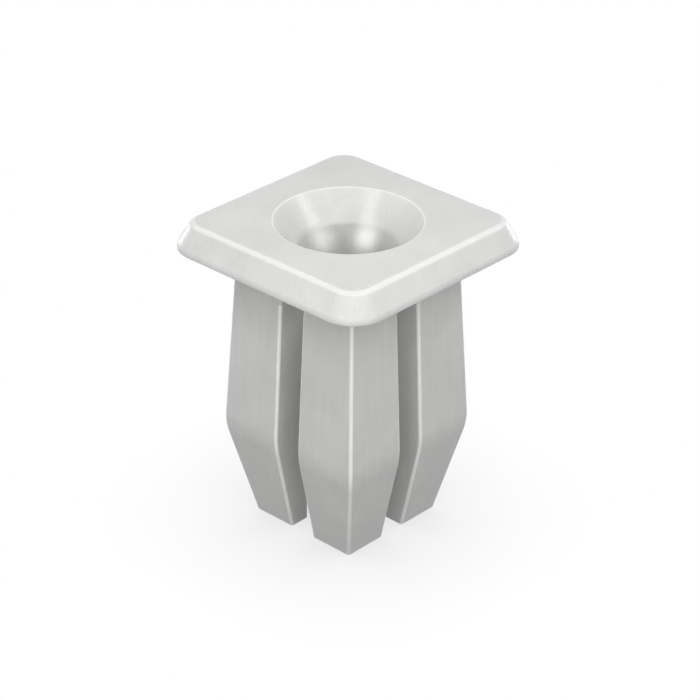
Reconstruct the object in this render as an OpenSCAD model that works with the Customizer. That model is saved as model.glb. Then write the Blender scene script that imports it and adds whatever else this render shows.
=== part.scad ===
// Snap-in nylon nut, moulded in one piece: a square head with bevelled sides on a
// square shank. Below its neck, two crossed slots split the shank into four springy legs,
// which swell to a shoulder and then taper to their tips. A countersunk hole for a tapping
// screw runs through the head and the neck and on between the legs.
// The underside of the head, which seats on the panel, is the plane z = 0.

/* [Head] */
// Width of the head across its flats, at the base
head_w = 16; // [13:0.1:22]
// Thickness of the head
head_t = 1.75; // [1.6:0.05:3]
// Corner radius of the head in plan, at the base
head_corner_r = 2.25; // [1.6:0.05:4]
// Height of the upright rim round the base, below the bevel
head_rim = 0.3; // [0.2:0.05:0.6]
// Rounding of the edge between the rim and the bevel
head_rim_r = 0.6; // [0.1:0.05:0.7]
// How far the top edge stands in from the base edge
head_bevel = 0.9; // [0.4:0.05:1.3]
// Rounding of the edge between the bevel and the top
head_edge_r = 0.55; // [0.1:0.05:0.8]

/* [Screw hole] */
// Diameter of the hole between the legs
bore_d = 5.5; // [3.5:0.1:5.8]
// Diameter of the throat below the countersink, which narrows through the neck to the bore
throat_d = 6; // [5.7:0.1:6.8]
// Diameter of the countersink at the top of the head
countersink_d = 9.2; // [7:0.1:10.5]
// Depth of the countersink below the top of the head
countersink_depth = 1.6; // [0.8:0.05:1.7]
// Rounding of the seat, where the countersink runs into the throat
seat_r = 0.8; // [0.1:0.1:1.5]
// Rounding of the countersink's lip
lip_r = 0.2; // [0.05:0.05:0.4]

/* [Shank] */
// Width of the neck that sits in the panel's square hole
neck_w = 9.9; // [8:0.1:10.8]
// Length of the neck, which is the thickest panel that it takes
neck_len = 2.2; // [1:0.1:4]
// Width of the shank at its shoulder
shoulder_w = 10.9; // [10:0.1:12.5]
// Depth of the shoulder below the head
shoulder_depth = 12.3; // [9:0.1:15]
// Radius that blends the swelling legs into their taper
shoulder_r = 5; // [1:0.5:8]
// Width of the shank across the leg tips
tip_w = 8; // [7.2:0.1:9.5]
// Length of the shank below the head
shank_len = 18.8; // [16:0.1:26]

/* [Legs] */
// Width of the crossed slots that part the legs
slot_w = 1.8; // [1:0.1:2.6]
// Rounding of each leg's long edges
leg_edge_r = 0.2; // [0.05:0.05:0.5]

/* [Hidden] */
nylon = [0.86, 0.86, 0.85];
$fn = 96;
// Straight steps that make up each fillet of a profile
fillet_steps = 6;
// Turn from one facet of a post's rounded edges to the next
facet_turn = 22.5;
// How far a cutter runs past the faces that it opens
overrun = 1;

function unit(v) = v / norm(v);
function polar(radius, angle) = radius * [cos(angle), sin(angle)];
function heading(v) = atan2(v.y, v.x);

// Points of an arc that rounds the corner between two straight edges of a profile
function fillet(before, corner, after, radius) =
    let (
        back = unit(before - corner),
        on = unit(after - corner),
        half_angle = acos(back * on) / 2,
        tangent = radius / tan(half_angle),
        centre = corner + unit(back + on) * radius / sin(half_angle),
        start = heading(corner + back * tangent - centre),
        end = heading(corner + on * tangent - centre),
        turn = (end - start + 540) % 360 - 180
    )
    [for (i = [0 : fillet_steps]) centre + polar(radius, start + turn * i / fillet_steps)];

// Side of the head, from its base up to the top, with the base edge at a given reach
function head_side(reach) =
    let (
        base = [reach, 0],
        rim = [reach, head_rim],
        edge = [reach - head_bevel, head_t],
        middle = [0, head_t]
    )
    concat([base], fillet(base, rim, edge, head_rim_r), fillet(rim, edge, middle, head_edge_r));

// Outer flank of the neck, from the head down, as [distance from the axis, z]
function neck_flank() = [[neck_w / 2, 0], [neck_w / 2, -neck_len]];

// Outer flank of a leg, which starts within the neck and ends at the tip
function leg_flank() =
    let (
        root = neck_flank(),
        shoulder = [shoulder_w / 2, -shoulder_depth],
        tip = [tip_w / 2, -shank_len]
    )
    concat(root, fillet(root[1], shoulder, tip, shoulder_r), [tip]);

// In plan a post is a square with rounded corners that spans from near to far along both axes.
// This is how far it reaches from the nut's axis in the direction of a turn.
function post_reach(near, far, turn) =
    let (
        along = [cos(turn), sin(turn)],
        inset = [near + leg_edge_r, far - leg_edge_r],
        corner = [along.x > 0 ? inset[1] : inset[0], along.y > 0 ? inset[1] : inset[0]]
    )
    corner * along + leg_edge_r;

function mirrored(points) = [for (i = [len(points) - 1 : -1 : 0]) [-points[i].x, points[i].y]];

// A profile in the XZ plane, stretched along Y on both sides of it
module slab(points, length)
    rotate([90, 0, 0])
        linear_extrude(height = length, center = true)
            polygon(points);

// The head, without its hole: two crossed slabs and the four rounded corners
module head_blank() {
    corner_at = head_w / 2 - head_corner_r;
    side = head_side(head_w / 2);
    for (turn = [0, 90])
        rotate(turn)
            slab(concat(side, mirrored(side)), 2 * corner_at);
    for (turn = [0 : 90 : 270])
        rotate(turn)
            translate([corner_at, corner_at, 0])
                rotate_extrude(angle = 90)
                    polygon(concat([[0, 0]], head_side(head_corner_r), [[0, head_t]]));
}

// A post from a near side to an outer flank, cut by a facet in each direction round it
module post(near, flank) {
    top = flank[0].y;
    foot = flank[len(flank) - 1].y;
    inside = -shoulder_w;
    intersection_for (turn = [0 : facet_turn : 360 - facet_turn])
        rotate(turn)
            slab(concat(
                [for (p = flank) [post_reach(near, p.x, turn), p.y]],
                [[inside, foot], [inside, top]]
            ), 2 * shoulder_w);
}

// The neck, which fills the panel's square hole
module neck()
    post(-neck_w / 2, neck_flank());

// One leg, in its corner between the two slots
module leg()
    post(slot_w / 2, leg_flank());

// The screw's hole: a rounded lip, the countersink, its seat, the narrowing throat and the bore
module screw_hole() {
    rim = [countersink_d / 2, head_t];
    beyond = [countersink_d, head_t];
    seat = [throat_d / 2, head_t - countersink_depth];
    bore_top = [bore_d / 2, -neck_len];
    bore_end = [bore_d / 2, -shank_len - overrun];
    rotate_extrude()
        polygon(concat(
            [[0, bore_end.y], bore_end, bore_top],
            fillet(bore_top, seat, rim, seat_r),
            fillet(seat, rim, beyond, lip_r),
            [[beyond.x, head_t + overrun], [0, head_t + overrun]]
        ));
}

module nut()
    color(nylon)
        difference() {
            union() {
                head_blank();
                neck();
                for (turn = [0 : 90 : 270])
                    rotate(turn)
                        leg();
            }
            screw_hole();
        }

nut();
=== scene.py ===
# %% [markdown]
# # A snap-in nylon nut
# The object is a nut that is moulded in one piece from nylon: a square head on a square shank, which two
# crossed slots split into four springy legs. It is pushed into a square hole in a panel until its shoulder
# snaps out behind the panel, and a tapping screw driven in through the head then spreads the legs.
# The measured solid of the nut is loaded first. It fixes the nut's place and overall size, and what is
# modelled below takes its size from it wherever it can.

# %% Load the measured nut
import math

import bmesh
import bpy
from mathutils import Euler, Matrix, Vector


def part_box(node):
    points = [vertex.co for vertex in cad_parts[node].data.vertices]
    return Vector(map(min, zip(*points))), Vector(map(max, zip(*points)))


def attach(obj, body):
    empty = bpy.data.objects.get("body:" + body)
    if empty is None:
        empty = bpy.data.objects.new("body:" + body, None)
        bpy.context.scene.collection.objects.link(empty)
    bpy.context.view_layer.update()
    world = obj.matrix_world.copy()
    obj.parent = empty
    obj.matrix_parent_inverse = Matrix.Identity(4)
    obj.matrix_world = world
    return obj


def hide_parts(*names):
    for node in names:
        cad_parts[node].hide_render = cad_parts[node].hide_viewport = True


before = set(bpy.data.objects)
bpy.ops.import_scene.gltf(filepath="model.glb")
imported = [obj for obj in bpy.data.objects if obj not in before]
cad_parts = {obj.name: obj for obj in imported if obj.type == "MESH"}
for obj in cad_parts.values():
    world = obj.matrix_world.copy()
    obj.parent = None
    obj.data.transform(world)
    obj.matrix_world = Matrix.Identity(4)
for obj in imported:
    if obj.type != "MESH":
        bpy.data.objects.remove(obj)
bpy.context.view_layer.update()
low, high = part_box("nut")
print("measured nodes:", len(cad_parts))
print("measured nut, from", tuple(low), "to", tuple(high))

# %% [markdown]
# ## Sizes
# A drawing of such a nut is dimensioned in millimetres, and so is this model: one Blender unit stands for a
# millimetre until the shape is finished. That is more than a convenience. Bevels and booleans have built-in
# tolerances for things the size of a chair, and at true size the nut's fine edges would fall below them.
# The underside of the head is the plane z = 0.

# %% Sizes in millimetres
MM = 0.001
HEAD_W = (high.x - low.x) / MM
HEAD_T = high.z / MM
SHANK_LEN = -low.z / MM
HEAD_CORNER_R = 2.25
HEAD_RIM = 0.3
HEAD_BEVEL = 0.9
NECK_W = 9.9
NECK_LEN = 2.2
SHOULDER_W = 10.9
SHOULDER_DEPTH = 12.3
TIP_W = 8.0
SLOT_W = 1.8
print(f"head {HEAD_W:.2f} wide and {HEAD_T:.2f} thick, shank {SHANK_LEN:.2f} long")

# %% [markdown]
# ## The head
# The head is a square plate with rounded corners, a low upright rim and sloping sides above it. It could be a
# cube with its edges bevelled, but one bevel can't make a side that rises further than it leans in. An inset
# can: the flat outline is raised by the rim, and then inset by the lean of the sides and raised to the top
# in one step, so that the sides slope alike along the flats and round the corners.

# %% Pick faces and edges by their place
LEVEL_WITHIN = 1e-4


def pick(kind, test):
    """Selects only the faces or the edges that pass a test, in edit mode, and says how many."""
    bpy.ops.mesh.select_mode(type=kind)
    bpy.ops.mesh.select_all(action="DESELECT")
    data = bpy.context.edit_object.data
    mesh = bmesh.from_edit_mesh(data)
    mesh.normal_update()
    chosen = [part for part in (mesh.faces if kind == "FACE" else mesh.edges) if test(part)]
    for part in chosen:
        part.select_set(True)
    bmesh.update_edit_mesh(data)
    return len(chosen)


def level(z):
    """A test that an edge or a face lies flat at a height."""
    return lambda part: all(abs(v.co.z - z) < LEVEL_WITHIN for v in part.verts)


def is_open(edge):
    """True for an edge that doesn't join two faces, as round a gap in the mesh."""
    return not edge.is_manifold


# %% Raise the head from its outline
def raise_selected(rise):
    """Extrudes the selected faces straight up, or down where the rise is negative."""
    bpy.ops.mesh.extrude_region_move(TRANSFORM_OT_translate={"value": (0, 0, rise)})


def face_outwards():
    """Turns all faces of a closed shape outwards, in edit mode."""
    bpy.ops.mesh.select_all(action="SELECT")
    bpy.ops.mesh.normals_make_consistent(inside=False)


bpy.ops.object.select_all(action="DESELECT")
bpy.ops.mesh.primitive_plane_add(size=HEAD_W)
head = bpy.context.object
bpy.ops.object.mode_set(mode="EDIT")
bpy.ops.mesh.bevel(offset=HEAD_CORNER_R, segments=16, affect="VERTICES")
raise_selected(HEAD_RIM)
bpy.ops.mesh.inset(thickness=HEAD_BEVEL, depth=HEAD_T - HEAD_RIM)
print("faces on the underside:", pick("FACE", level(0)))
face_outwards()
print("open edges:", pick("EDGE", is_open))

# %% [markdown]
# No moulded edge is sharp. Round edges are what catch the light on a part like this, so each one gets a bevel
# of its own radius. Blender's bevel is given the distance from the old edge to where the curve begins,
# which depends on the radius and on how far the surface turns there.

# %% Round the head's edges
HEAD_RIM_R = 0.6
HEAD_EDGE_R = 0.55
BASE_EDGE_R = 0.05
RIGHT_ANGLE = math.pi / 2
lean = math.atan2(HEAD_BEVEL, HEAD_T - HEAD_RIM)


def round_edges(radius, turn, segments):
    """Rounds the selected edges to a radius, where the surface turns by an angle at each."""
    bpy.ops.mesh.bevel(offset=radius * math.tan(turn / 2), segments=segments, affect="EDGES")


print("edges round the top:", pick("EDGE", level(HEAD_T)))
round_edges(HEAD_EDGE_R, RIGHT_ANGLE - lean, segments=8)
print("edges round the rim:", pick("EDGE", level(HEAD_RIM)))
round_edges(HEAD_RIM_R, lean, segments=5)
print("edges round the base:", pick("EDGE", level(0)))
round_edges(BASE_EDGE_R, RIGHT_ANGLE, segments=3)
bpy.ops.object.mode_set(mode="OBJECT")
print("head faces:", len(head.data.polygons))

# %% [markdown]
# ## The shank
# The shank hangs from the head: a short solid neck, and below it four legs in its corners, parted by two
# crossed slots. It could be a square post with the slots cut out of it. Here it grows the other way, which
# needs no cutting: a square the size of the neck is divided along the edges of the slots, raised to make
# the neck, and only its four corner squares are then drawn down to make the legs.
# The neck's upper end lies inside the head, so that the two overlap when they are joined.

# %% Divide the square and raise the neck
ROOT = 0.8
inner = SLOT_W / 2
bpy.ops.object.select_all(action="DESELECT")
bpy.ops.mesh.primitive_plane_add(size=NECK_W, location=(0, 0, -NECK_LEN))
shank = bpy.context.object
bpy.ops.object.transform_apply(location=True, rotation=True, scale=True)
bpy.ops.object.mode_set(mode="EDIT")
for across in (Vector((1, 0, 0)), Vector((0, 1, 0))):
    for side in (-inner, inner):
        bpy.ops.mesh.select_all(action="SELECT")
        bpy.ops.mesh.bisect(plane_co=side * across, plane_no=across)
print("squares:", pick("FACE", level(-NECK_LEN)))
raise_selected(NECK_LEN + ROOT)
face_outwards()
print("open edges:", pick("EDGE", is_open))

# %% [markdown]
# The outer flanks of a leg swell from the neck to the shoulder and then taper to the tip, while its inner
# walls, along the slots, stay upright. Each leg is drawn down twice, and each new end is scaled about the
# leg's inner corner, which keeps those walls in place.

# %% Draw down the four legs
SLACK = 0.1


def leg_side(width):
    """Side of a leg's square section where the shank has a given width."""
    return width / 2 - inner


def draw_end(rise, grow, centre):
    """Extrudes the selected end up or down and scales it about a centre."""
    raise_selected(rise)
    bpy.ops.transform.resize(value=(grow, grow, 1), center_override=centre)


def draw_leg(corner, from_depth, to_depth, from_width, to_width):
    """Draws the selected end of a leg down to a depth and to the shank's width there."""
    grow = leg_side(to_width) / leg_side(from_width)
    draw_end(from_depth - to_depth, grow, (*corner, -to_depth))


def in_corner(corner):
    """A test that a face lies at the neck's lower end and no nearer to the axis than a leg's corner."""
    at_neck = level(-NECK_LEN)
    reach = (1 - SLACK) * corner.dot(corner)
    return lambda face: at_neck(face) and all(v.co.xy.dot(corner) > reach for v in face.verts)


for x in (-inner, inner):
    for y in (-inner, inner):
        corner = Vector((x, y))
        print("leg at", tuple(corner), "starts from faces:", pick("FACE", in_corner(corner)))
        draw_leg(corner, NECK_LEN, SHOULDER_DEPTH, NECK_W, SHOULDER_W)
        draw_leg(corner, SHOULDER_DEPTH, SHANK_LEN, SHOULDER_W, TIP_W)

# %% [markdown]
# The shoulder is where the leg is bent most as it snaps in, so it is blended by a generous radius and not
# left as a crease. The long edges of the legs, and the upper ends of the slots, have a small radius. Edges
# near the middle are left alone, because the screw hole will take them away.
# Before that, a limited dissolve clears the lines that cross the flat faces, which would only get in the way,
# and one new line is cut round the legs: the roundings have to turn a tight corner at the top of each slot,
# and the line keeps what happens there from spreading down the leg.

# %% Round the shoulder and the long edges
SHOULDER_R = 5.0
LEG_EDGE_R = 0.2
THROAT_D = 6.0
END_MARGIN = 0.1
FLAT_TURN = math.radians(0.2)
LONG_EDGE_TURN = math.radians(60)
swell = math.atan2((SHOULDER_W - NECK_W) / 2, SHOULDER_DEPTH - NECK_LEN)
taper = math.atan2((SHOULDER_W - TIP_W) / 2, SHANK_LEN - SHOULDER_DEPTH)


def edge_middle(edge):
    """The point halfway along an edge."""
    return sum((v.co for v in edge.verts), Vector()) / 2


def is_long_edge(edge):
    """True for the sharp outward edges of the neck, legs and slots, apart from the ends of the shank."""
    middle = edge_middle(edge)
    outside = max(abs(middle.x), abs(middle.y)) > THROAT_D / 2
    between_ends = -SHANK_LEN + END_MARGIN < middle.z < ROOT - END_MARGIN
    return outside and between_ends and edge.calc_face_angle_signed(0) > LONG_EDGE_TURN


print("shoulder edges:", pick("EDGE", level(-SHOULDER_DEPTH)))
round_edges(SHOULDER_R, swell + taper, segments=8)
bpy.ops.mesh.select_all(action="SELECT")
bpy.ops.mesh.dissolve_limited(angle_limit=FLAT_TURN)
bpy.ops.mesh.select_all(action="SELECT")
bpy.ops.mesh.bisect(plane_co=(0, 0, -NECK_LEN - 2 * LEG_EDGE_R), plane_no=(0, 0, 1))
print("long edges:", pick("EDGE", is_long_edge))
round_edges(LEG_EDGE_R, RIGHT_ANGLE, segments=4)
bpy.ops.object.mode_set(mode="OBJECT")
print("shank faces:", len(shank.data.polygons))

# %% [markdown]
# ## The screw hole
# The hole is turned: a rounded lip, a countersink that guides the screw, a throat that narrows through the
# neck and the bore between the legs, where the screw cuts its thread. A tool of that shape is made from a
# disc that is extruded up from ring to ring, each ring scaled to its own radius, and is then taken out of
# the nut.

# %% Work out the rings of the hole
BORE_D = 5.5
COUNTERSINK_D = 9.2
COUNTERSINK_DEPTH = 1.6
SEAT_R = 0.8
LIP_R = 0.2
OVERRUN = 1.0


def fillet(before, corner, after, radius, steps):
    """Points of the arc that rounds one corner of a profile."""
    back = (before - corner).normalized()
    ahead = (after - corner).normalized()
    half = back.angle(ahead) / 2
    centre = corner + (back + ahead).normalized() * radius / math.sin(half)
    first = corner + back * radius / math.tan(half) - centre
    last = corner + ahead * radius / math.tan(half) - centre
    return [centre + first.slerp(last, step / steps).normalized() * radius for step in range(steps + 1)]


bore_end = Vector((BORE_D / 2, -SHANK_LEN - OVERRUN))
bore_top = Vector((BORE_D / 2, -NECK_LEN))
seat = Vector((THROAT_D / 2, HEAD_T - COUNTERSINK_DEPTH))
rim = Vector((COUNTERSINK_D / 2, HEAD_T))
outward = Vector((COUNTERSINK_D, HEAD_T))
above = Vector((COUNTERSINK_D, HEAD_T + OVERRUN))
seat_rings = fillet(bore_top, seat, rim, SEAT_R, steps=10)
lip_rings = fillet(seat, rim, outward, LIP_R, steps=6)
rings = [bore_end, bore_top] + seat_rings + lip_rings + [above]
print("rings:", len(rings))

# %% Raise the tool from ring to ring
HOLE_SIDES = 96
bpy.ops.object.select_all(action="DESELECT")
bpy.ops.mesh.primitive_circle_add(
    vertices=HOLE_SIDES, radius=rings[0].x, fill_type="NGON", location=(0, 0, rings[0].y)
)
hole = bpy.context.object
bpy.ops.object.transform_apply(location=True, rotation=True, scale=True)
bpy.ops.object.mode_set(mode="EDIT")
for below, ring in zip(rings, rings[1:]):
    draw_end(ring.y - below.y, ring.x / below.x, (0, 0, ring.y))
face_outwards()
bpy.ops.object.mode_set(mode="OBJECT")
print("tool faces:", len(hole.data.polygons))

# %% [markdown]
# ## Joining
# The real nut is one moulding, so its pieces become one closed mesh. A boolean modifier joins the shank to
# the head, and a second one takes out the hole through both. Merely overlapping the pieces would look much
# the same from outside, but it would leave walls buried inside.

# %% Join the head and the shank and take out the hole
def combine(piece, tool, operation):
    """Joins a tool to a piece, or takes it out, and removes the tool."""
    joiner = piece.modifiers.new(operation.lower(), "BOOLEAN")
    joiner.operation = operation
    joiner.object = tool
    bpy.context.view_layer.objects.active = piece
    bpy.ops.object.modifier_apply(modifier=joiner.name)
    bpy.data.objects.remove(tool)


combine(head, shank, "UNION")
combine(head, hole, "DIFFERENCE")
nut = head
nut.name = "nut_moulding"
nut.data.name = "nut_moulding"
print("nut faces:", len(nut.data.polygons))

# %% [markdown]
# The hole has left new sharp edges where it runs into the slots, and the tips of the legs are still sharp.
# They are found by their angle, outward edges only, and get the smallest radius that still catches light.
# Points that the booleans left almost on top of each other are merged first, or they would pinch the shading.

# %% Round the edges that are still sharp
INNER_EDGE_R = 0.1
MERGE_WITHIN = 0.002
NECK_MARGIN = 0.01
SHARP_TURN = math.radians(30)


def is_sharp_on_legs(edge):
    """True for an outward edge of a leg, below the neck, that is still sharp."""
    below_neck = edge_middle(edge).z < -NECK_LEN - NECK_MARGIN
    return below_neck and edge.calc_face_angle_signed(0) > SHARP_TURN


bpy.ops.object.select_all(action="DESELECT")
nut.select_set(True)
bpy.context.view_layer.objects.active = nut
bpy.ops.object.mode_set(mode="EDIT")
bpy.ops.mesh.select_all(action="SELECT")
bpy.ops.mesh.remove_doubles(threshold=MERGE_WITHIN)
print("sharp edges on the legs:", pick("EDGE", is_sharp_on_legs))
bpy.ops.mesh.bevel(offset=INNER_EDGE_R, segments=3, affect="EDGES")
print("open edges:", pick("EDGE", is_open))

# %% [markdown]
# Parts like this are tumbled together by the thousand, which leaves their edges a little smoother than the
# flats. The edges also get a painted highlight: their roundings are coloured paler than the flats, like the
# bright lines that light leaves along them. The finish needs to know where those edges are, so they are
# marked in an attribute of the mesh now that no more faces will be made. Inside a rounding every strip turns
# from the last by a full step, and at its borders by half a step, so the angle of an edge, in degrees, tells
# whether it lies inside. The marks sit on the corners of faces rather than on points, because the flat faces
# beside a rounding share its points but get no painted highlight.
# A second attribute marks the wall of the hole, which was moulded round a polished pin. Its faces are the
# ones that look at the nut's axis.

# %% Mark the edges for the painted highlight and the polished hole
LEG_STEP = (20, 32)
HEAD_STEP = (6, 7.7)
BASE_MARGIN = 0.1
LEG_HIGHLIGHT = 1.0
LIP_HIGHLIGHT = 0.45
HEAD_HIGHLIGHT = 0.35
FACING = 0.5


def is_inside_rounding(edge):
    """True for an edge between two strips of the same rounding, at the top of the head or on the legs."""
    height = edge_middle(edge).z
    clear_of_base = height < -BASE_MARGIN or height > HEAD_T / 2
    least, most = LEG_STEP if height < 0 else HEAD_STEP
    return clear_of_base and least < math.degrees(edge.calc_face_angle_signed(0)) < most


def edge_highlight_amount(vert):
    """Painted highlight and smoothness of a rounding: the legs' edges most, the head's broad edge least."""
    if vert.co.z < 0:
        return LEG_HIGHLIGHT
    return LIP_HIGHLIGHT if vert.co.xy.length < COUNTERSINK_D / 2 + LIP_R else HEAD_HIGHLIGHT


def looks_at_axis(face):
    """True for a face that looks inwards, at the axis of the hole."""
    return face.normal.xy.dot(face.calc_center_median().xy.normalized()) < -FACING


print("edges inside roundings:", pick("EDGE", is_inside_rounding))
mesh = bmesh.from_edit_mesh(nut.data)
edge_highlight_mark = mesh.loops.layers.float.new("edge_highlight_and_gloss")
hole_mark = mesh.loops.layers.float.new("polished")
# The mark sets where the colour gets a painted highlight and the finish is smoother.
for face in mesh.faces:
    for loop in face.loops:
        if loop.edge.select or loop.link_loop_prev.edge.select:
            loop[edge_highlight_mark] = edge_highlight_amount(loop.vert)
        loop[hole_mark] = float(looks_at_axis(face))
bmesh.update_edit_mesh(nut.data)
print("faces in the hole:", sum(looks_at_axis(face) for face in mesh.faces))
bpy.ops.object.mode_set(mode="OBJECT")

# %% [markdown]
# The shape is done, so it is brought from millimetres to its true size in metres, and the change is applied
# to the mesh. Smooth shading hides the facets of the roundings, and weighted normals make the large flat
# faces shade as flat as they are, right up to where a rounding begins.

# %% Bring the nut to its true size
SMOOTH_TURN = math.radians(35)
nut.scale = (MM, MM, MM)
bpy.ops.object.transform_apply(location=True, rotation=True, scale=True)
bpy.ops.object.shade_smooth_by_angle(angle=SMOOTH_TURN)
flatten = nut.modifiers.new("flatten", "WEIGHTED_NORMAL")
flatten.keep_sharp = True
bpy.ops.object.modifier_apply(modifier=flatten.name)
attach(nut, "root")
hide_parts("nut")
print("triangles:", sum(len(face.vertices) - 2 for face in nut.data.polygons))

# %% [markdown]
# ## The nylon
# Natural nylon is an even, slightly translucent grey-white, and its finish comes from the steel mould: a fine
# spark-eroded grain, faint lines where the part was drawn out of the mould along its length, and soft clouds
# where the melt cooled faster or slower. A picture of the surface would need unwrapping and would blur close
# up. Noise in the nut's own coordinates does neither, and it is set out in millimetres like the shape.

# %% Start the material
NYLON_IOR = 1.53
nylon = bpy.data.materials.new("moulded_nylon")
nylon.use_nodes = True
tree = nylon.node_tree
shader = tree.nodes["Principled BSDF"]
shader.inputs["IOR"].default_value = NYLON_IOR
nut.data.materials.clear()
nut.data.materials.append(nylon)
print("materials on the nut:", len(nut.data.materials))

# %% Patterns in the nut's own coordinates
DRAWN_SCALE = (4.5, 4.5, 0.12)


def feed(tree, socket, value):
    """Gives a socket a value, or links it to the output of another node."""
    if isinstance(value, bpy.types.NodeSocket):
        tree.links.new(value, socket)
    else:
        socket.default_value = value


def add_node(tree, kind, inputs):
    """Adds a node and feeds its inputs, which are given by name or by number."""
    node = tree.nodes.new(kind)
    for name, value in inputs.items():
        feed(tree, node.inputs[name], value)
    return node


def rescaled(tree, vector, scale):
    """Multiplies coordinates by a scale along each axis."""
    return add_node(tree, "ShaderNodeMapping", {"Vector": vector, "Scale": scale}).outputs[0]


def add_noise(tree, vector, scale, detail, distortion=0):
    """Adds a noise and gives its value."""
    return add_node(tree, "ShaderNodeTexNoise", {
        "Vector": vector, "Scale": scale, "Detail": detail, "Distortion": distortion,
    }).outputs["Fac"]


place = add_node(tree, "ShaderNodeTexCoord", {}).outputs["Object"]
in_mm = rescaled(tree, place, (1 / MM, 1 / MM, 1 / MM))
drawn = rescaled(tree, in_mm, DRAWN_SCALE)
clouds = add_noise(tree, in_mm, scale=0.32, detail=4, distortion=0.5)
lines = add_noise(tree, drawn, scale=1, detail=3)
grain = add_noise(tree, in_mm, scale=8, detail=2)
patches = add_noise(tree, in_mm, scale=1.1, detail=3)
print("patterns:", [pattern.node.name for pattern in (clouds, lines, grain, patches)])

# %% [markdown]
# The patterns meet in the colour first. The clouds run between two close tones of nylon, the drawn lines
# shade them a little, and a painted highlight is mixed in last, a paler colour where the mesh was marked
# along the edges. Patches of noise break it up, so that it is not even along an edge.

# %% Ways to mix patterns
NOISE_LOW = 0.3
NOISE_HIGH = 0.7


def spread(tree, value, low_to, high_to):
    """Stretches a noise, which keeps near its middle, to run between two values."""
    return add_node(tree, "ShaderNodeMapRange", {
        "Value": value, "From Min": NOISE_LOW, "From Max": NOISE_HIGH, "To Min": low_to, "To Max": high_to,
    }).outputs["Result"]


def mix_colours(tree, kind, factor, first, second):
    """Mixes two colours, each a value or the output of a node, and gives the result."""
    node = tree.nodes.new("ShaderNodeMix")
    node.data_type = "RGBA"
    node.blend_type = kind
    # The node has sockets of the same name for each type of data, so those for colours go by number.
    for number, value in ((0, factor), (6, first), (7, second)):
        feed(tree, node.inputs[number], value)
    return node.outputs[2]


def math_node(tree, operation, first, second):
    """Combines two numbers, each a value or the output of a node."""
    node = add_node(tree, "ShaderNodeMath", {0: first, 1: second})
    node.operation = operation
    return node.outputs[0]


def marked(tree, name):
    """Reads a mark from the mesh."""
    node = tree.nodes.new("ShaderNodeAttribute")
    node.attribute_name = name
    return node.outputs["Fac"]


# %% Colour
DARK_NYLON = (0.655, 0.655, 0.645, 1)
PALE_NYLON = (0.715, 0.715, 0.705, 1)
DRAWN_NYLON = (0.95, 0.95, 0.95, 1)
PAINTED_HIGHLIGHT_NYLON = (0.97, 0.97, 0.96, 1)
LEAST_HIGHLIGHT = 0.75
uneven = spread(tree, patches, LEAST_HIGHLIGHT, 1)
edge_highlight_and_gloss = math_node(tree, "MULTIPLY", marked(tree, "edge_highlight_and_gloss"), uneven)
body = mix_colours(tree, "MIX", spread(tree, clouds, 0, 1), DARK_NYLON, PALE_NYLON)
body = mix_colours(tree, "MULTIPLY", spread(tree, lines, 0, 1), body, DRAWN_NYLON)
# Painted highlight: the marked edges are mixed towards a paler colour.
colour = mix_colours(tree, "MIX", edge_highlight_and_gloss, body, PAINTED_HIGHLIGHT_NYLON)
tree.links.new(colour, shader.inputs["Base Color"])
print("colour comes from:", colour.node.name)

# %% [markdown]
# The same patterns then drive the gloss and the relief. The clouds and lines change how rough the satin
# surface is, and the edges marked for the painted highlight are smoother, as tumbling leaves them. The grain
# and the lines stand up by a few thousandths of a millimetre, except in the polished hole, which is smooth
# and shiny enough to mirror the lamps in soft streaks.

# %% Gloss and relief
SATIN_ROUGHNESS = (0.40, 0.48)
LINE_ROUGHNESS = 0.03
RUBBED_SMOOTHER = 0.12
POLISHED_SMOOTHER = 0.24
RELIEF_STRENGTH = 0.5
POLISHED_WEAKER = 0.42
RELIEF_HEIGHT = 0.006 * MM


def lessened(tree, value, mark, amount):
    """Takes an amount off a value where the mesh is marked."""
    return math_node(tree, "SUBTRACT", value, math_node(tree, "MULTIPLY", mark, amount))


polished = marked(tree, "polished")
satin = spread(tree, clouds, *SATIN_ROUGHNESS)
satin = math_node(tree, "ADD", satin, spread(tree, lines, -LINE_ROUGHNESS, LINE_ROUGHNESS))
roughness = lessened(tree, satin, edge_highlight_and_gloss, RUBBED_SMOOTHER)
roughness = lessened(tree, roughness, polished, POLISHED_SMOOTHER)
tree.links.new(roughness, shader.inputs["Roughness"])
relief = {"Strength": lessened(tree, RELIEF_STRENGTH, polished, POLISHED_WEAKER), "Distance": RELIEF_HEIGHT}
fine = add_node(tree, "ShaderNodeBump", {"Height": grain, **relief})
whole = add_node(tree, "ShaderNodeBump", {"Height": lines, "Normal": fine.outputs["Normal"], **relief})
tree.links.new(whole.outputs["Normal"], shader.inputs["Normal"])
print("nodes in the nylon:", len(tree.nodes))

# %% [markdown]
# ## The table
# A catalogue shows its parts on bare white. A white floor does that, but a floor bright enough to look white
# would also light the nut from below, and the undersides of the tapers are meant to be the darkest faces.
# So the floor is two things at once. For the light that bounces round the scene it is a dark grey. To the
# camera and to reflections it glows white, and darkens towards the nut by as much as the nut closes in on it,
# which is the soft shadow that an overcast room leaves under a thing. From below it is clear, so that the
# underside can be looked at. It lies a hundredth of a millimetre below the tips, or the two would flicker.

# %% White paper floor
FLOOR_SIZE = 4
TIP_GAP = 0.01 * MM
bpy.ops.mesh.primitive_plane_add(size=FLOOR_SIZE, location=(0, 0, low.z - TIP_GAP))
floor = bpy.context.object
floor.name = "floor"
paper = bpy.data.materials.new("white_paper")
paper.use_nodes = True
floor.data.materials.append(paper)
print("floor at", floor.location.z)

# %% Ways to tell light from sight
def mix_shaders(tree, factor, first, second):
    """Mixes two shaders, from the first one at factor 0 to the second one at factor 1."""
    return add_node(tree, "ShaderNodeMixShader", {0: factor, 1: first, 2: second}).outputs[0]


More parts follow.
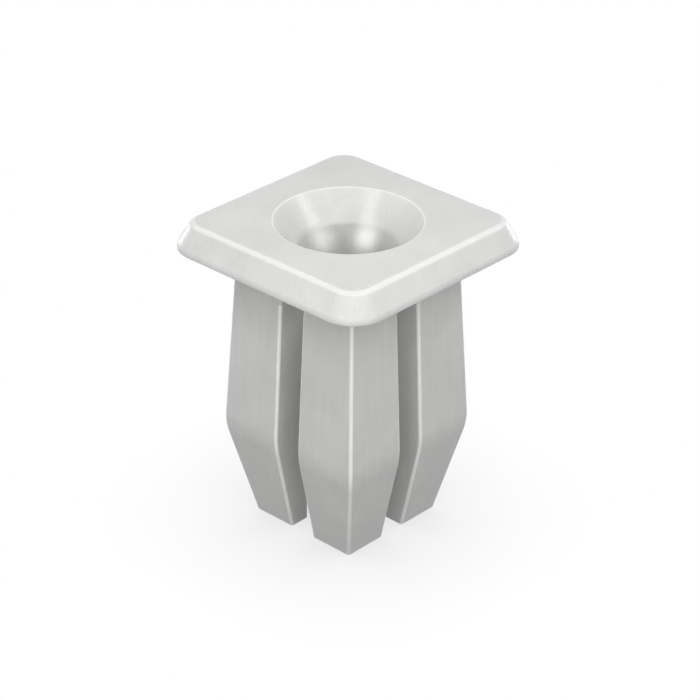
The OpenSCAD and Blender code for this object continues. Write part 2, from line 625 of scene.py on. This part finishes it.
def add_sight(tree):
    """Adds nodes that give 1 to rays that show a surface, straight or in a reflection, and 0 to light."""
    path = tree.nodes.new("ShaderNodeLightPath")
    shown = path.outputs["Is Camera Ray"]
    for name in ("Is Glossy Ray", "Is Transmission Ray"):
        shown = math_node(tree, "MAXIMUM", shown, path.outputs[name])
    return shown


# %% Grey to light, white to the eye
DARK_GREY = (0.06, 0.06, 0.06, 1)
SHADOW = 0.3
SHADOW_REACH = 10 * MM
tree = paper.node_tree
sheet = tree.nodes["Principled BSDF"]
sheet.inputs["Base Color"].default_value = DARK_GREY
sheet.inputs["Specular IOR Level"].default_value = 0
openness = add_node(tree, "ShaderNodeAmbientOcclusion", {"Distance": SHADOW_REACH})
openness.samples = 4
whiteness = math_node(tree, "MULTIPLY", openness.outputs["AO"], SHADOW)
whiteness = math_node(tree, "ADD", 1 - SHADOW, whiteness)
glow = add_node(tree, "ShaderNodeEmission", {"Strength": whiteness})
clear = tree.nodes.new("ShaderNodeBsdfTransparent")
from_below = tree.nodes.new("ShaderNodeNewGeometry").outputs["Backfacing"]
upper = mix_shaders(tree, add_sight(tree), sheet.outputs[0], glow.outputs[0])
both_sides = mix_shaders(tree, from_below, upper, clear.outputs[0])
tree.links.new(both_sides, tree.nodes["Material Output"].inputs["Surface"])
print("nodes in the paper:", len(tree.nodes))

# %% [markdown]
# ## The light
# The room works like the floor: white to look at, and a softer light from all sides. The form of the nut is
# drawn by lamps. Two stand close to the head, one before each of the faces in view. Because they are close,
# their light falls off down the shank: the head comes out brightest, the faces of the legs duller and the
# tapers duller still. Two broad lamps, low on both sides of the camera, open up the slots. Behind the nut,
# two kickers glance off the front edges of the head, and two low lamps keep its far sides from going dark.
# Most lamps are large for a thing of this size, because a small one would be mirrored as a hard spot in the
# satin surface. The last two are small for that very reason: the polished countersink mirrors them as two
# streaks on its far side, one on each side of the middle.

# %% Room
AMBIENT = 0.4
WHITE = (1, 1, 1, 1)
world = bpy.data.worlds.new("studio")
bpy.context.scene.world = world
world.use_nodes = True
tree = world.node_tree
room = tree.nodes["Background"]
room.inputs["Color"].default_value = WHITE
room.inputs["Strength"].default_value = AMBIENT
backdrop = add_node(tree, "ShaderNodeBackground", {"Color": WHITE, "Strength": 1})
seen = mix_shaders(tree, add_sight(tree), room.outputs[0], backdrop.outputs[0])
tree.links.new(seen, tree.nodes["World Output"].inputs["Surface"])
print("nodes in the room:", len(tree.nodes))

# %% Ways to place a lamp
def direction(azimuth, elevation):
    """The way from the nut to a place round it, turned in degrees from the front and raised."""
    turn, lift = math.radians(azimuth), math.radians(elevation)
    return Vector((math.sin(turn) * math.cos(lift), -math.cos(turn) * math.cos(lift), math.sin(lift)))


def place_lamp(kind, name, spot, way, distance):
    """Adds a lamp at a distance from a spot and turns it to shine there."""
    bpy.ops.object.light_add(type=kind, location=spot + distance * way)
    lamp = bpy.context.object
    lamp.name = name
    lamp.rotation_euler = way.to_track_quat("Z", "Y").to_euler()
    return lamp


def add_lamp(name, azimuth, elevation, distance, size, strength):
    """Adds a square lamp that shines on the head. At strength 1 a white face turned to it looks white."""
    middle = Vector((0, 0, high.z / 2))
    lamp = place_lamp("AREA", name, middle, direction(azimuth, elevation), distance)
    lamp.data.size = size
    lamp.data.energy = strength * (math.pi * distance) ** 2
    lamp.visible_camera = False
    print(name, f"{lamp.data.energy:.4f} W")


# %% Lamps
CAMERA_AZIMUTH = 42.8
ASIDE = 22
CLOSE = 0.05
AWAY = 0.12
# Each row gives the name, azimuth and elevation in degrees, distance and size in metres, and strength.
add_lamp("front_left", 0, 30, CLOSE, 0.05, 0.25)
add_lamp("front_right", 90, 30, CLOSE, 0.05, 0.23)
add_lamp("fill_left", CAMERA_AZIMUTH - ASIDE, 15, AWAY, 0.1, 0.24)
add_lamp("fill_right", CAMERA_AZIMUTH + ASIDE, 15, AWAY, 0.1, 0.24)
add_lamp("kicker_right", 175, 51, AWAY, 0.04, 0.08)
add_lamp("kicker_left", 275, 51, AWAY, 0.04, 0.08)
add_lamp("back_right", 180, -1, AWAY, 0.03, 0.2)
add_lamp("back_left", 270, -1, AWAY, 0.03, 0.2)
add_lamp("streak_right", -12, 54, AWAY, 0.04, 0.13)
add_lamp("streak_left", 136, 40, AWAY, 0.04, 0.13)

# %% [markdown]
# The hole would still look like a dark pit, because its lip shades it from the lamps. Photographers send
# light into such a place through a snoot, a narrow tube on a lamp. Two spot lamps do the same here. Each one
# puts a soft streak on the far wall of the throat, to the left and to the right of the middle.

# %% Snoots for the hole
SNOOT_DISTANCE = 0.08
SNOOT_ELEVATION = 42
SNOOT_CONE = math.radians(1.3)
SNOOT_RADIUS = 0.5 * MM
STREAK_Z = -0.9


def add_snoot(name, aside, strength):
    """Adds a narrow spot lamp that shines on the throat's far wall, a little aside of its middle."""
    near = direction(CAMERA_AZIMUTH, 0)
    right = direction(CAMERA_AZIMUTH + 90, 0)
    back = math.sqrt((THROAT_D / 2) ** 2 - aside ** 2)
    spot = (aside * right - back * near + Vector((0, 0, STREAK_Z))) * MM
    lamp = place_lamp("SPOT", name, spot, direction(CAMERA_AZIMUTH, SNOOT_ELEVATION), SNOOT_DISTANCE)
    lamp.data.spot_size = SNOOT_CONE
    lamp.data.spot_blend = 1
    lamp.data.shadow_soft_size = SNOOT_RADIUS
    lamp.data.energy = strength * (2 * math.pi * SNOOT_DISTANCE) ** 2
    print(name, f"{lamp.data.energy:.4f} W")


add_snoot("snoot_left", -1.7, 0.76)
add_snoot("snoot_right", 1.1, 1.12)

# %% [markdown]
# ## The camera
# The nut is seen a little from above, with one corner of the head towards us, through a long lens. All of
# this was found by fitting the projected corners of the nut to the catalogue picture, roll included. The
# camera is placed by its direction from the nut, and its aim is then shifted a little in its own picture
# plane.

# %% Camera
CAMERA_ELEVATION = 29.0
CAMERA_ROLL = math.radians(0.594)
CAMERA_DISTANCE = 163.8 * MM
AIM_Z = -8 * MM
AIM_SHIFT = Vector((0.17, 0.65, 0)) * MM
LENS = 135.46
stance = direction(CAMERA_AZIMUTH, CAMERA_ELEVATION).to_track_quat("Z", "Y").to_matrix()
target = Vector((0, 0, AIM_Z)) + stance @ AIM_SHIFT
bpy.ops.object.camera_add(location=target + stance @ Vector((0, 0, CAMERA_DISTANCE)))
camera = bpy.context.object
camera.rotation_euler = (stance @ Euler((0, 0, CAMERA_ROLL)).to_matrix()).to_euler()
camera.data.lens = LENS
camera.data.clip_start = 0.01
bpy.context.scene.camera = camera
bpy.context.scene.view_settings.view_transform = "Standard"
print("camera at", tuple(camera.location))
